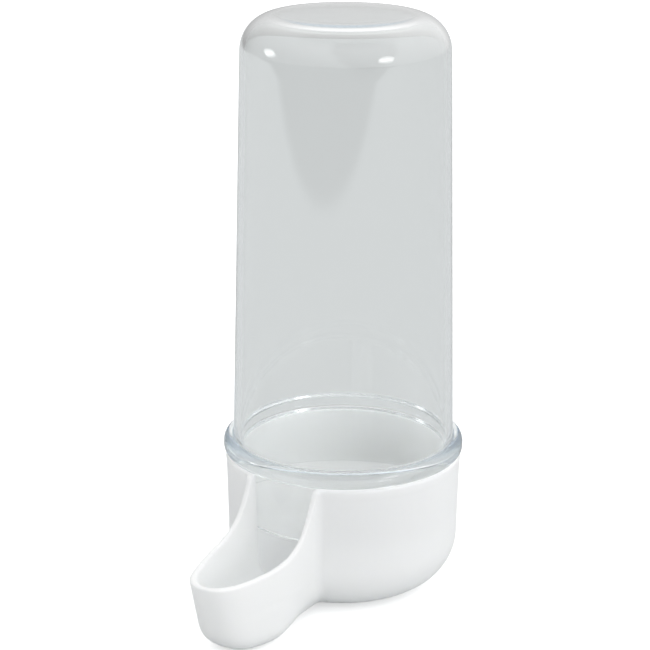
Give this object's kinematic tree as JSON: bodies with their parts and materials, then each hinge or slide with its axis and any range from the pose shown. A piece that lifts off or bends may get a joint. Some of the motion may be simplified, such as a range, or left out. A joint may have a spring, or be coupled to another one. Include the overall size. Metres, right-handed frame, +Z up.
{
  "type": "poultry drinker",
  "caption": "Small fountain drinker for cage birds, quail and chicks: a clear tube tank that stands in a white base cup with one beak-shaped drinking spout.",
  "frame": {"origin": "centre of the base cup's flat underside, on the axis of the cup and the tank", "axes": "+Z up along the axis of the cup and the tank, -Y along the drinking spout, +X to the right seen from the spout's side"},
  "size_m": [0.072, 0.1108, 0.1721],
  "materials": {
    "clear_tank": "clear injection-moulded polystyrene, smooth and glossy",
    "white_base": "white injection-moulded polypropylene, smooth with a soft gloss"
  },
  "bodies": {
    "base": {"drinker_base": "white_base"},
    "tank": {"water_tank": "clear_tank"}
  },
  "joints": [
    {"name": "tank_lift", "type": "slide", "parent": "base", "child": "tank", "axis": [0, 0, 1], "range_m": [0, 0.06]}
  ]
}
